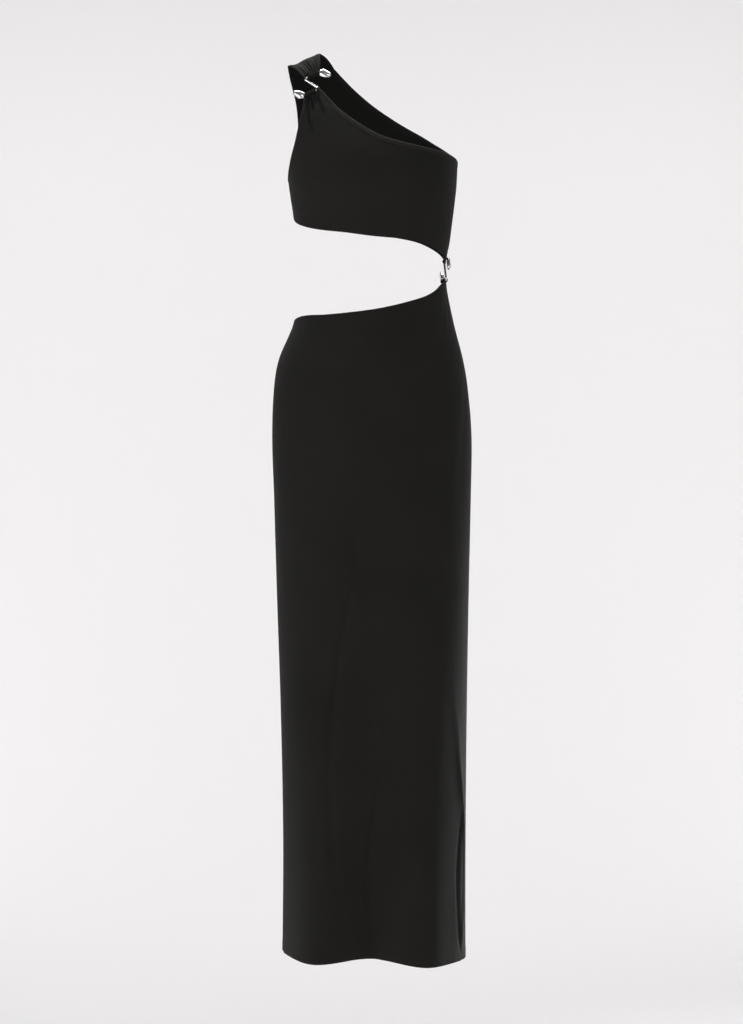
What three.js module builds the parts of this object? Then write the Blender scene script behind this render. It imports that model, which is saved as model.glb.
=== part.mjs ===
// One-shoulder maxi dress with an open waist, standing as if worn, with nobody in it.
// Millimetres, +Z up, the front faces -Y. Two silver links join its pieces.
// The origin is the crest of the shoulder, where the wearer carries the dress.
import * as THREE from "three";

// Driving dimensions
const HOLD_X = -112.5;          // shoulder crest, from the middle of the dress
const HOLD_UP = 1466.1;         // underside of the strap there, above the hem
const WALL = 1.5;
const BAND_WALL = 2.6;          // cloth folded double over an edge
const SEAM_GAP = 0.3;
const SIDE_DEG = 89.88;         // a side seam, just clear of the next panel
const BAND_GAP = 0.6;           // between a panel and the folded band at its edge
const NECK_BAND = 8;
const ARM_BAND = 6;
const NECK_TAPER = 0.4;         // share of its width that a band keeps at the strap
const ARM_TAPER = 0.55;
const CREST = 1477;             // height at which the shoulder curve peaks
const CREST_ROUND = 60.8;       // twice the radius of the shoulder curve
const SLOPE = 0.38;             // fall of the shoulder towards the arm
const SLOPE_FROM = -86;         // the neck end of that fall
const SLOPE_LOW = 1300;
const SLOPE_HIGH = 1440;
const SHOULDER_DROP = 60;       // from the crest down to the middle of the shoulder's curve
const CASING_INNER = 2.6;
const CASING_OUTER = 4.1;
const CASING_RIB = 0.4;
const CASING_RIBS = 5;
const CASING_HALF = 9.1;        // half the gathered width on a bar
const CASING_SHIFT = 0.7;       // from the middle of the bar towards its flared end
const LAP_END = 13;             // how far along a link the cloth's corner laps over the bend
const LAP_FRONT = 3.9;          // how far before the bend that corner lies
const LAP_RISE = 6.2;           // how far it runs past the casing
const STRAP_DIP = 2.6;          // how far the strap sinks between its edges
const GATHER_DEPTH = 1.1;
const GATHER_FROM = 1335;       // height at which the front starts to draw in to its casing
const GATHER_FAN = 0.12;        // degrees that the gathers spread for each mm down
const FOLD_POWER = 1.35;        // how slowly the skirt's folds deepen towards the hem
const SEAM_FADE = 14;           // degrees beside a side seam in which they die away
const SWAY = 0.17;              // the hem stands further forward to the right by this slope
const SWAY_FROM = 620;

// The hollow form: half widths to each side and depths, at heights above the hem
const form = [
  { up: 0, left: 148, right: 151, front: 111, back: 108 },
  { up: 180, left: 146.5, right: 151.5, front: 108, back: 109 },
  { up: 400, left: 150.3, right: 154, front: 106, back: 112 },
  { up: 600, left: 156.6, right: 157.5, front: 105, back: 117 },
  { up: 750, left: 161, right: 160.8, front: 107, back: 123 },
  { up: 850, left: 164, right: 162, front: 108, back: 124 },
  { up: 930, left: 160.8, right: 155.5, front: 105, back: 116 },
  { up: 975, left: 153, right: 148, front: 100, back: 106 },
  { up: 1040, left: 127, right: 131.5, front: 93, back: 91 },
  { up: 1120, left: 119, right: 118.5, front: 87, back: 80 },
  { up: 1170, left: 122, right: 126.5, front: 98, back: 83 },
  { up: 1206, left: 128.3, right: 131, front: 110, back: 87 },
  { up: 1255, left: 136, right: 137, front: 126, back: 93 },
  { up: 1285, left: 139.5, right: 138.7, front: 124, back: 97 },
  { up: 1320, left: 144, right: 140, front: 113, back: 98 },
  { up: 1365, left: 151, right: 148, front: 92, back: 86 },
  { up: 1410, left: 158, right: 158, front: 66, back: 66 },
  { up: 1437, left: 162, right: 162, front: 49.3, back: 49.3 },
  { up: 1458, left: 164, right: 164, front: 34, back: 34 },
];

// Edges of the panels: "at" runs along the edge, "deg" is the angle round the form
// from the middle of the front or back (left is minus), "up" the height above the hem
const frontBodiceHem = [
  { at: 0, deg: -90, up: 1208 }, { at: 0.1, deg: -80, up: 1199 },
  { at: 0.2, deg: -66, up: 1190 }, { at: 0.35, deg: -44, up: 1180 },
  { at: 0.5, deg: -20, up: 1173 }, { at: 0.62, deg: 0, up: 1167 },
  { at: 0.75, deg: 25, up: 1163 }, { at: 0.82, deg: 37, up: 1160 },
  { at: 0.88, deg: 49.5, up: 1154 }, { at: 0.93, deg: 61, up: 1148.5 },
  { at: 0.96, deg: 69, up: 1144.3 }, { at: 0.98, deg: 78, up: 1141.3 },
  { at: 1, deg: 90, up: 1141.1 },
];
const backBodiceHem = [
  { at: 0, deg: -90, up: 1208 }, { at: 0.2, deg: -60, up: 1205 },
  { at: 0.4, deg: -20, up: 1200 }, { at: 0.52, deg: 0, up: 1193 },
  { at: 0.63, deg: 18, up: 1184.5 }, { at: 0.7, deg: 28, up: 1180 },
  { at: 0.77, deg: 38, up: 1174 }, { at: 0.84, deg: 50, up: 1164 },
  { at: 0.9, deg: 61, up: 1154.5 }, { at: 0.94, deg: 69, up: 1148 },
  { at: 0.97, deg: 78, up: 1142 }, { at: 1, deg: 90, up: 1141.1 },
];
const frontNeck = [
  { at: 0, deg: -33, up: 1410 }, { at: 0.1, deg: -26.5, up: 1389.5 },
  { at: 0.19, deg: -20.4, up: 1371 }, { at: 0.29, deg: -12, up: 1353 },
  { at: 0.37, deg: -4, up: 1338.5 }, { at: 0.49, deg: 5.4, up: 1325.5 },
  { at: 0.6, deg: 16, up: 1317.7 }, { at: 0.7, deg: 28, up: 1312 },
  { at: 0.8, deg: 41, up: 1308 }, { at: 0.89, deg: 53, up: 1305.6 },
  { at: 0.96, deg: 70, up: 1302 }, { at: 1, deg: 90, up: 1298 },
];
const backNeck = [
  { at: 0, deg: -22.8, up: 1458 }, { at: 0.09, deg: -17.4, up: 1443.5 },
  { at: 0.17, deg: -10.5, up: 1426 }, { at: 0.29, deg: 0, up: 1403.4 },
  { at: 0.4, deg: 10.6, up: 1385 }, { at: 0.52, deg: 21.8, up: 1368.5 },
  { at: 0.64, deg: 34.4, up: 1352.7 }, { at: 0.79, deg: 50, up: 1334 },
  { at: 0.92, deg: 70, up: 1314.5 }, { at: 1, deg: 90, up: 1300 },
];
const frontArmhole = [
  { at: 0, deg: -90, up: 1271 }, { at: 0.12, deg: -83, up: 1275 },
  { at: 0.22, deg: -76.5, up: 1284.5 }, { at: 0.36, deg: -68.6, up: 1301 },
  { at: 0.5, deg: -61, up: 1321 }, { at: 0.64, deg: -55.2, up: 1344 },
  { at: 0.76, deg: -51.8, up: 1364 }, { at: 0.89, deg: -47.6, up: 1390 },
  { at: 1, deg: -45, up: 1410 },
];
const backArmhole = [
  { at: 0, deg: -90, up: 1271 }, { at: 0.1, deg: -82, up: 1276 },
  { at: 0.2, deg: -73, up: 1292 }, { at: 0.32, deg: -65, up: 1315 },
  { at: 0.44, deg: -59, up: 1342 }, { at: 0.56, deg: -54.6, up: 1369 },
  { at: 0.7, deg: -53, up: 1398 }, { at: 0.83, deg: -53, up: 1424 },
  { at: 0.93, deg: -54.5, up: 1444 }, { at: 1, deg: -56, up: 1458 },
];
// The hem rises a little between the folds
const frontHem = [
  { at: -90, up: 1 }, { at: -65, up: 0.5 }, { at: -38, up: 0 }, { at: 0, up: 5 },
  { at: 36, up: 0 }, { at: 65, up: 0 }, { at: 90, up: 0 },
];
const backHem = [
  { at: -90, up: 1 }, { at: -40, up: 3 }, { at: 5, up: 6 }, { at: 42, up: 3 }, { at: 90, up: 0 },
];
const frontSkirtTop = [
  { at: -90, up: 1038 }, { at: -80, up: 1040 }, { at: -71, up: 1042 },
  { at: -62, up: 1043 }, { at: -50, up: 1043 }, { at: -38, up: 1042.3 },
  { at: -19, up: 1044.5 }, { at: 0, up: 1049.3 }, { at: 14, up: 1055.5 },
  { at: 29, up: 1064 }, { at: 44, up: 1073.5 }, { at: 56, up: 1083.6 },
  { at: 66, up: 1094 }, { at: 74, up: 1099.6 }, { at: 82, up: 1100.9 },
  { at: 90, up: 1100.9 },
];
const backSkirtTop = [
  { at: -90, up: 1038 }, { at: -75, up: 1038 }, { at: -55, up: 1038.5 },
  { at: -30, up: 1040 }, { at: 0, up: 1047 }, { at: 20, up: 1055.5 },
  { at: 40, up: 1068 }, { at: 55, up: 1081.5 }, { at: 66, up: 1092.5 },
  { at: 74, up: 1099 }, { at: 82, up: 1100.9 }, { at: 90, up: 1100.9 },
];
// The strap over the shoulder: "depth" is behind the crest, or before it when minus
const strapEdges = [
  { at: 0, depth: 34, left: -56, right: -22.8 },
  { at: 0.25, depth: 17, left: -56.8, right: -27.2 },
  { at: 0.45, depth: 0, left: -56.7, right: -31.6 },
  { at: 0.7, depth: -22, left: -53, right: -31.9 },
  { at: 0.88, depth: -38, left: -49, right: -32.5 },
  { at: 1, depth: -47, left: -46, right: -33.2 },
];

// Long soft folds of the skirt: "grow" is the height where a fold begins,
// "deep" how far it stands out (or in when minus) at the hem
const frontFolds = [
  { deg: -1, wide: 17, deep: -38, grow: 700 },
  { deg: -43, wide: 19, deep: 30, grow: 640 },
  { deg: 36, wide: 16, deep: 19, grow: 660 },
];
const backFolds = [
  { deg: 6, wide: 18, deep: -30, grow: 640 },
  { deg: -36, wide: 16, deep: 18, grow: 600 },
  { deg: 44, wide: 17, deep: 20, grow: 680 },
];

// Colours and finishes
const jersey = new THREE.MeshStandardMaterial({ color: 0x201f1d, roughness: 0.8, metalness: 0 });
const silver = new THREE.MeshStandardMaterial({ color: 0xd2d3d4, roughness: 0.2, metalness: 1 });

const dress = new THREE.Group();
dress.position.set(-HOLD_X, 0, -HOLD_UP);

// Smooth curve through the rows of a table
function along(rows, key, name, x) {
  const last = rows.length - 1;
  const slope = (k) => {
    const a = rows[Math.max(0, k - 1)];
    const b = rows[Math.min(last, k + 1)];
    return (b[name] - a[name]) / (b[key] - a[key]);
  };
  if (x <= rows[0][key]) return rows[0][name] + (x - rows[0][key]) * slope(0);
  if (x >= rows[last][key]) return rows[last][name] + (x - rows[last][key]) * slope(last);
  let i = 0;
  while (x > rows[i + 1][key]) i += 1;
  const span = rows[i + 1][key] - rows[i][key];
  const t = (x - rows[i][key]) / span;
  const t2 = t * t;
  const t3 = t2 * t;
  return (2 * t3 - 3 * t2 + 1) * rows[i][name] + (t3 - 2 * t2 + t) * slope(i) * span
    + (3 * t2 - 2 * t3) * rows[i + 1][name] + (t3 - t2) * slope(i + 1) * span;
}

function smooth(from, to, x) {
  const t = Math.min(1, Math.max(0, (x - from) / (to - from)));
  return t * t * (3 - 2 * t);
}

function shoulderFall(x, up) {
  return SLOPE * Math.max(0, SLOPE_FROM - x) * smooth(SLOPE_LOW, SLOPE_HIGH, up);
}

// A place on the form; side is -1 for the front and 1 for the back
function onForm(deg, up, side) {
  const turn = THREE.MathUtils.degToRad(deg);
  const x = along(form, "up", deg < 0 ? "left" : "right", up) * Math.sin(turn);
  const y = side * along(form, "up", side < 0 ? "front" : "back", up) * Math.cos(turn);
  return new THREE.Vector3(x, y, up - shoulderFall(x, up));
}

// The same form carried over the shoulder, by depth before or behind the crest
function overShoulder(deg, depth) {
  const turn = THREE.MathUtils.degToRad(deg);
  const up = CREST - depth * depth / CREST_ROUND;
  const x = along(form, "up", "left", up) * Math.sin(turn);
  return new THREE.Vector3(x, depth * Math.cos(turn), up - shoulderFall(x, up));
}

function outward(point, u, v, away) {
  const step = 1e-3;
  const du = point(Math.min(1, u + step), v).sub(point(Math.max(0, u - step), v));
  const dv = point(u, Math.min(1, v + step)).sub(point(u, Math.max(0, v - step)));
  const normal = du.cross(dv).normalize();
  return normal.dot(away) < 0 ? normal.negate() : normal;
}

// One closed wall of cloth round a curved sheet
function shell(point, us, vs, wall, awayFrom) {
  const positions = [];
  const index = [];
  const count = us.length * vs.length;
  for (const face of [0.5, -0.5]) {
    for (const v of vs) {
      for (const u of us) {
        const middle = point(u, v);
        const normal = outward(point, u, v, middle.clone().sub(awayFrom(middle)));
        middle.addScaledVector(normal, wall * face);
        positions.push(middle.x, middle.y, middle.z);
      }
    }
  }
  const at = (i, j, face) => face * count + j * us.length + i;
  const quad = (a, b, c, d) => index.push(a, b, c, a, c, d);
  for (let j = 0; j + 1 < vs.length; j += 1) {
    for (let i = 0; i + 1 < us.length; i += 1) {
      quad(at(i, j, 0), at(i + 1, j, 0), at(i + 1, j + 1, 0), at(i, j + 1, 0));
      quad(at(i, j, 1), at(i, j + 1, 1), at(i + 1, j + 1, 1), at(i + 1, j, 1));
    }
  }
  for (let i = 0; i + 1 < us.length; i += 1) {
    const top = vs.length - 1;
    quad(at(i, 0, 0), at(i, 0, 1), at(i + 1, 0, 1), at(i + 1, 0, 0));
    quad(at(i, top, 0), at(i + 1, top, 0), at(i + 1, top, 1), at(i, top, 1));
  }
  for (let j = 0; j + 1 < vs.length; j += 1) {
    const end = us.length - 1;
    quad(at(0, j, 0), at(0, j + 1, 0), at(0, j + 1, 1), at(0, j, 1));
    quad(at(end, j, 0), at(end, j, 1), at(end, j + 1, 1), at(end, j + 1, 0));
  }
  return closed(positions, index);
}

// Faces turned outwards, whichever way the sheet was drawn
function closed(positions, index) {
  const p = (k) => new THREE.Vector3().fromArray(positions, 3 * k);
  let volume = 0;
  for (let k = 0; k < index.length; k += 3) {
    volume += p(index[k]).dot(p(index[k + 1]).cross(p(index[k + 2])));
  }
  if (volume < 0) {
    for (let k = 0; k < index.length; k += 3) {
      [index[k], index[k + 1]] = [index[k + 1], index[k]];
    }
  }
  const geometry = new THREE.BufferGeometry();
  geometry.setAttribute("position", new THREE.Float32BufferAttribute(positions, 3));
  geometry.setIndex(index);
  geometry.computeVertexNormals();
  return geometry;
}

function piece(name, geometry, material) {
  const mesh = new THREE.Mesh(geometry, material);
  mesh.name = name;
  dress.add(mesh);
}

function steps(from, to, count) {
  return Array.from({ length: count + 1 }, (_, k) => from + (to - from) * k / count);
}

const bodyAxis = (p) => new THREE.Vector3(0, 0, p.z);
const shoulderAxis = (p) => new THREE.Vector3(p.x, 0, CREST - SHOULDER_DROP);

// A link lies in a frame of its own: a to the right, b upwards, c towards the viewer
function linkFrame(centre, turnDeg, tiltDeg, spinDeg) {
  const turn = THREE.MathUtils.degToRad(turnDeg);
  const tilt = THREE.MathUtils.degToRad(tiltDeg);
  const spin = THREE.MathUtils.degToRad(spinDeg);
  const a = new THREE.Vector3(Math.cos(turn), -Math.sin(turn), 0);
  const level = new THREE.Vector3(-Math.sin(turn), -Math.cos(turn), 0);
  const b = new THREE.Vector3(0, 0, Math.cos(tilt)).addScaledVector(level, -Math.sin(tilt));
  const c = a.clone().cross(b);
  return (x, y, z = 0) => centre.clone()
    .addScaledVector(a, x * Math.cos(spin) - y * Math.sin(spin))
    .addScaledVector(b, x * Math.sin(spin) + y * Math.cos(spin))
    .addScaledVector(c, z);
}
const shoulderLink = linkFrame(new THREE.Vector3(-98.2, -43, 1420), 15.5, 22.6, 0);
const waistLink = linkFrame(new THREE.Vector3(119.4, 0, 1121), 80, 0, -25.6);

// A link is a slim bar bent back on itself twice, with flared ends
const BAR = 1.85;               // its radius
const BAR_LINE = 17.4;          // height of an outer bar over the middle of its link
const BAR_RISE = 0.48;          // rise of that bar along the link
const BAR_END = 10.5;
const LINK_LEAN = 0.72;         // fall of the stretch between the two bends
const BEND = 2.4;               // radius of a bend, to the bar's centre line
const LINK_TIP = 1.02;          // how far the rounded tips reach, as a share of the flare
const flare = [
  { a: -11.6, b: -23.2, wide: 3.4, thick: 2.6 },
  { a: -13.6, b: -21.9, wide: 6.2, thick: 3.3 },
  { a: -18, b: -19.3, wide: 6.6, thick: 3.6 },
  { a: -23.5, b: -16.6, wide: 5.6, thick: 3.4 },
  { a: -27.6, b: -14.9, wide: 4.2, thick: 2.8 },
  { a: -29.6, b: -14.2, wide: 2.4, thick: 1.8 },
  { a: -30.2, b: -14, wide: 1.1, thick: 0.9 },
];

// Centre line of its lower half, from the middle to the flared end
function linkHalf() {
  const corner = new THREE.Vector2(1, -LINK_LEAN).multiplyScalar(BAR_LINE / (LINK_LEAN + BAR_RISE));
  const back = new THREE.Vector2(-1, LINK_LEAN).normalize();
  const onward = new THREE.Vector2(-1, -BAR_RISE).normalize();
  const half = Math.acos(back.dot(onward)) / 2;
  const centre = corner.clone()
    .addScaledVector(back.clone().add(onward).normalize(), BEND / Math.sin(half));
  const first = corner.clone().addScaledVector(back, BEND / Math.tan(half)).sub(centre).angle();
  const arc = steps(first, first - (Math.PI - 2 * half), 4).map((turn) => (
    { a: centre.x + BEND * Math.cos(turn), b: centre.y + BEND * Math.sin(turn) }));
  const line = [
    { a: 0, b: 0 }, { a: arc[0].a / 2, b: arc[0].b / 2 }, ...arc,
    { a: 0, b: -BAR_LINE }, { a: -BAR_END, b: -BAR_LINE - BAR_RISE * BAR_END },
  ];
  return [...line.map((row) => ({ ...row, wide: BAR, thick: BAR })), ...flare];
}

function link(place) {
  const half = linkHalf();
  const rows = [...half.slice(1).reverse().map((row) => ({ ...row, a: -row.a, b: -row.b })), ...half];
  const sides = 12;
  const positions = [];
  const index = [];
  rows.forEach((row, k) => {
    const before = rows[Math.max(0, k - 1)];
    const after = rows[Math.min(rows.length - 1, k + 1)];
    const run = Math.hypot(after.a - before.a, after.b - before.b);
    const na = -(after.b - before.b) / run;
    const nb = (after.a - before.a) / run;
    for (let s = 0; s < sides; s += 1) {
      const turn = 2 * Math.PI * s / sides;
      const w = row.wide * Math.cos(turn);
      const ring = place(row.a + na * w, row.b + nb * w, row.thick * Math.sin(turn));
      positions.push(...ring.toArray());
    }
  });
  for (let k = 0; k + 1 < rows.length; k += 1) {
    for (let s = 0; s < sides; s += 1) {
      const t = (s + 1) % sides;
      const low = k * sides;
      index.push(low + s, low + t, low + sides + t, low + s, low + sides + t, low + sides + s);
    }
  }
  for (const end of [0, rows.length - 1]) {
    const tip = positions.length / 3;
    positions.push(...place(rows[end].a * LINK_TIP, rows[end].b).toArray());
    for (let s = 0; s < sides; s += 1) {
      const ring = [end * sides + s, end * sides + (s + 1) % sides];
      if (end === 0) ring.reverse();
      index.push(ring[0], ring[1], tip);
    }
  }
  return closed(positions, index);
}

// Gathered tunnel of cloth that a bar runs through; side is 1 on the upper bar
function casing(place, side) {
  const from = side * CASING_SHIFT - CASING_HALF;
  const to = side * CASING_SHIFT + CASING_HALF;
  const sides = 10;
  const positions = [];
  const index = [];
  const ring = (x, radius) => {
    const middle = side * BAR_LINE + BAR_RISE * x;
    for (let s = 0; s < sides; s += 1) {
      const turn = 2 * Math.PI * (s + 0.5) / sides;
      positions.push(...place(x, middle + radius * Math.cos(turn), radius * Math.sin(turn)).toArray());
    }
  };
  const shares = steps(0, 1, 4 * CASING_RIBS);
  for (const share of shares) {
    const rib = CASING_RIB * Math.cos(2 * Math.PI * share * CASING_RIBS);
    ring(from + (to - from) * share, CASING_OUTER - rib);
  }
  ring(to, CASING_INNER);
  ring(from, CASING_INNER);
  const rings = shares.length + 2;
  for (let k = 0; k < rings; k += 1) {
    const here = k * sides;
    const next = ((k + 1) % rings) * sides;
    for (let s = 0; s < sides; s += 1) {
      const t = (s + 1) % sides;
      index.push(here + s, here + t, next + t, here + s, next + t, next + s);
    }
  }
  return closed(positions, index);
}

// The end of a gathered panel, just clear of its casing. Its corner beside the bend
// comes forward and laps over it.
const CASING_REACH = CASING_OUTER + CASING_RIB + SEAM_GAP;
function casingEnd(place, side, share) {
  const flared = side * (CASING_HALF + CASING_SHIFT);
  const bent = -side * LAP_END;
  const x = side > 0 ? bent + (flared - bent) * share : flared + (bent - flared) * share;
  const front = LAP_FRONT * smooth(6, 9.5, -side * x);
  const back = LAP_RISE * smooth(9.2, 12.5, -side * x);
  return place(x, side * (BAR_LINE + CASING_REACH - back) + BAR_RISE * x, front);
}

// An edge moved into its panel by a width: square to the edge where "lean" is 0,
// level where it is 1, and straight down where it is -1
function inset(edge, width, side, lean) {
  return (t) => {
    const step = 1e-3;
    const here = edge(t);
    const next = edge(t + step);
    const last = edge(t - step);
    const at = (deg, up) => onForm(here.deg + deg, here.up + up, side);
    const perDeg = at(0.5, 0).distanceTo(at(-0.5, 0));
    const perUp = at(0, 0.5).distanceTo(at(0, -0.5));
    const run = new THREE.Vector2((next.deg - last.deg) * perDeg, (next.up - last.up) * perUp);
    run.normalize();
    const flat = Math.max(0, lean(t));
    const sheer = Math.max(0, -lean(t));
    const across = (run.y + (Math.sign(run.y) - run.y) * flat) * (1 - sheer);
    const down = (run.x + (1 - run.x) * sheer) * (1 - flat);
    return { deg: here.deg + across * width(t) / perDeg, up: here.up - down * width(t) / perUp };
  };
}

function edgeOf(rows) {
  return (t) => ({ deg: along(rows, "at", "deg", t), up: along(rows, "at", "up", t) });
}

// A sheet between four edges, smooth inside, given as angle and height
function between(bottom, top, left, right) {
  const p00 = bottom(0);
  const p10 = bottom(1);
  const p01 = top(0);
  const p11 = top(1);
  const mix = (u, v, key) => (1 - v) * bottom(u)[key] + v * top(u)[key]
    + (1 - u) * left(v)[key] + u * right(v)[key]
    - (1 - u) * (1 - v) * p00[key] - u * (1 - v) * p10[key]
    - (1 - u) * v * p01[key] - u * v * p11[key];
  return (u, v) => ({ deg: mix(u, v, "deg"), up: mix(u, v, "up") });
}

// Folds of the skirt, as a distance before or behind the form
function fold(rows, deg, up) {
  return rows.reduce((sum, row) => {
    const size = Math.pow(Math.max(0, 1 - up / row.grow), FOLD_POWER);
    const off = (deg - row.deg) / row.wide;
    return sum + row.deep * size * Math.exp(-off * off);
  }, 0);
}

// A skirt panel, from side seam to side seam and from its hem to its top edge
function skirt(hemRows, topRows, folds, side) {
  return (u, v) => {
    const deg = SIDE_DEG * (2 * u - 1);
    const hem = along(hemRows, "at", "up", deg);
    const up = hem + v * (along(topRows, "at", "up", deg) - hem);
    const place = onForm(deg, up, side);
    const depth = fold(folds, deg, up) * smooth(0, SEAM_FADE, 90 - Math.abs(deg));
    const sway = SWAY * place.x * Math.pow(Math.max(0, 1 - up / SWAY_FROM), FOLD_POWER);
    place.y += side * depth - sway;
    return place;
  };
}

const frontSkirt = skirt(frontHem, frontSkirtTop, frontFolds, -1);
const backSkirt = skirt(backHem, backSkirtTop, backFolds, 1);
// Rows of the skirt from hem to top, closer where its edge curves
const skirtRows = [...steps(0, 0.86, 20), 0.9, 0.94, 0.97, 1];
piece("skirt_front", shell(frontSkirt, steps(0, 1, 36), skirtRows, WALL, bodyAxis), jersey);
piece("skirt_back", shell(backSkirt, steps(0, 1, 30), skirtRows, WALL, bodyAxis), jersey);

// Share of the bodice top that is gathered at the strap, and of its sides below the armhole
const STRAP_SHARE = 0.3;
const SEAM_SHARE = 0.38;
// Places along the edges where the sheets have their columns and rows, closer at the seams
const neckSteps = [...steps(0, 0.86, 18), 0.893, 0.929, 0.95, 0.9714, 1];
const armSteps = [0, 0.03, 0.07, 0.12, ...steps(0.19, 1, 9)];
// The bands end level at the strap and straight down at the side seams
const neckLean = (t) => smooth(0.1, 0, t) - smooth(0.85, 1, t);
const armLean = (t) => smooth(0.88, 1, t) - smooth(0.12, 0, t);

function neckWidth(t) {
  return NECK_BAND * (NECK_TAPER + (1 - NECK_TAPER) * smooth(0, 0.14, t));
}

function armWidth(t) {
  return ARM_BAND * (1 - (1 - ARM_TAPER) * smooth(0.85, 1, t));
}

function withinSeams(row) {
  return { deg: row.deg * SIDE_DEG / 90, up: row.up };
}

// A bodice panel: side seams, armhole, strap end and neckline round one sheet
function bodice(hemRows, neckRows, armRows, side) {
  const hem = edgeOf(hemRows);
  const neckReach = (t) => neckWidth(t) + BAND_GAP * (1 + smooth(0.2, 0, t));
  const armReach = (t) => armWidth(t) + BAND_GAP * (1 + smooth(0.7, 0.9, t));
  const neckIn = inset(edgeOf(neckRows), neckReach, side, neckLean);
  const armIn = inset(edgeOf(armRows), armReach, side, armLean);
  const strapLeft = armIn(1);
  const strapRight = neckIn(0);
  const bottom = (u) => withinSeams(hem(u));
  const top = (u) => {
    if (u > STRAP_SHARE) return withinSeams(neckIn((u - STRAP_SHARE) / (1 - STRAP_SHARE)));
    const t = u / STRAP_SHARE;
    return {
      deg: strapLeft.deg + (strapRight.deg - strapLeft.deg) * t,
      up: strapLeft.up + (strapRight.up - strapLeft.up) * t,
    };
  };
  const left = (v) => {
    if (v > SEAM_SHARE) return withinSeams(armIn((v - SEAM_SHARE) / (1 - SEAM_SHARE)));
    const low = bottom(0).up;
    return { deg: -SIDE_DEG, up: low + (armIn(0).up - low) * v / SEAM_SHARE };
  };
  const right = (v) => ({ deg: SIDE_DEG, up: bottom(1).up + (top(1).up - bottom(1).up) * v });
  return between(bottom, top, left, right);
}

// Small gathers that run out of a casing and fade with distance
function gathers(share, fade) {
  return GATHER_DEPTH * Math.cos(2 * Math.PI * share * CASING_RIBS) * fade;
}

// The front as it is worn: drawn in to its casing on the link and gathered there
function gatheredFront(row) {
  const base = onForm(row.deg, row.up, -1);
  const left = frontArmhole[frontArmhole.length - 1];
  const right = frontNeck[0];
  const share = THREE.MathUtils.clamp((row.deg - left.deg) / (right.deg - left.deg), 0, 1);
  const end = onForm(left.deg + (right.deg - left.deg) * share, left.up, -1);
  const pull = casingEnd(shoulderLink, -1, share).sub(end);
  const drawn = smooth(GATHER_FROM, left.up, row.up);
  const middle = (left.deg + right.deg) / 2;
  const half = (right.deg - left.deg) / 2 + (left.up - row.up) * GATHER_FAN;
  const fanned = 0.5 + (row.deg - middle) / (2 * half);
  const fade = drawn * smooth(0.36, 0.24, Math.abs(fanned - 0.5));
  base.addScaledVector(base.clone().setZ(0).normalize(), gathers(fanned, fade));
  return base.addScaledVector(pull, drawn);
}
const plainBack = (row) => onForm(row.deg, row.up, 1);

function sheetOf(hemRows, neckRows, armRows, side, place) {
  const rows = bodice(hemRows, neckRows, armRows, side);
  return (u, v) => place(rows(u, v));
}

const bodiceColumns = [...steps(0, STRAP_SHARE, 15),
  ...neckSteps.slice(1).map((t) => STRAP_SHARE + (1 - STRAP_SHARE) * t)];
const bodiceRows = [...steps(0, SEAM_SHARE, 4),
  ...armSteps.slice(1).map((t) => SEAM_SHARE + (1 - SEAM_SHARE) * t)];
const frontSheet = sheetOf(frontBodiceHem, frontNeck, frontArmhole, -1, gatheredFront);
const backSheet = sheetOf(backBodiceHem, backNeck, backArmhole, 1, plainBack);
piece("bodice_front", shell(frontSheet, bodiceColumns, bodiceRows, WALL, bodyAxis), jersey);
piece("bodice_back", shell(backSheet, bodiceColumns, bodiceRows, WALL, bodyAxis), jersey);

// Folded bands along the neckline and the armhole
function band(rows, width, side, lean, place) {
  const outer = edgeOf(rows);
  const inner = inset(outer, width, side, lean);
  return (t, w) => {
    const a = outer(t);
    const b = inner(t);
    return place(withinSeams({ deg: a.deg + (b.deg - a.deg) * w, up: a.up + (b.up - a.up) * w }));
  };
}

const bands = [
  ["neck_band_front", band(frontNeck, neckWidth, -1, neckLean, gatheredFront), neckSteps],
  ["neck_band_back", band(backNeck, neckWidth, 1, neckLean, plainBack), neckSteps],
  ["armhole_band_front", band(frontArmhole, armWidth, -1, armLean, gatheredFront), armSteps],
  ["armhole_band_back", band(backArmhole, armWidth, 1, armLean, plainBack), armSteps],
];
for (const [name, strip, stops] of bands) {
  piece(name, shell(strip, stops, [0, 0.5, 1], BAND_WALL, bodyAxis), jersey);
}

// The strap over the shoulder, gathered into its casing in front
function strap(u, v) {
  const depth = along(strapEdges, "at", "depth", v);
  const left = along(strapEdges, "at", "left", v);
  const right = along(strapEdges, "at", "right", v);
  const base = overShoulder(left + (right - left) * u, depth);
  const end = strapEdges[strapEdges.length - 1];
  const last = overShoulder(end.left + (end.right - end.left) * u, end.depth);
  const pull = casingEnd(shoulderLink, 1, u).sub(last);
  const away = base.clone().sub(shoulderAxis(base)).normalize();
  const dip = STRAP_DIP * Math.exp(-Math.pow((u - 0.3) / 0.2, 2)) * Math.sin(Math.PI * v);
  base.addScaledVector(away, gathers(u, smooth(0.45, 1, v)) - dip);
  return base.addScaledVector(pull, smooth(0.5, 1, v));
}
const STRAP_START = 0.012;      // clear of its seam with the back
const strapRows = steps(STRAP_START, 1, 16);
piece("shoulder_strap", shell(strap, steps(0, 1, 16), strapRows, WALL, shoulderAxis), jersey);

piece("strap_casing", casing(shoulderLink, 1), jersey);
piece("bodice_casing", casing(shoulderLink, -1), jersey);
piece("waist_casing_upper", casing(waistLink, 1), jersey);
piece("waist_casing_lower", casing(waistLink, -1), jersey);
piece("link_shoulder", link(shoulderLink), silver);
piece("link_waist", link(waistLink), silver);

export default dress;
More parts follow.
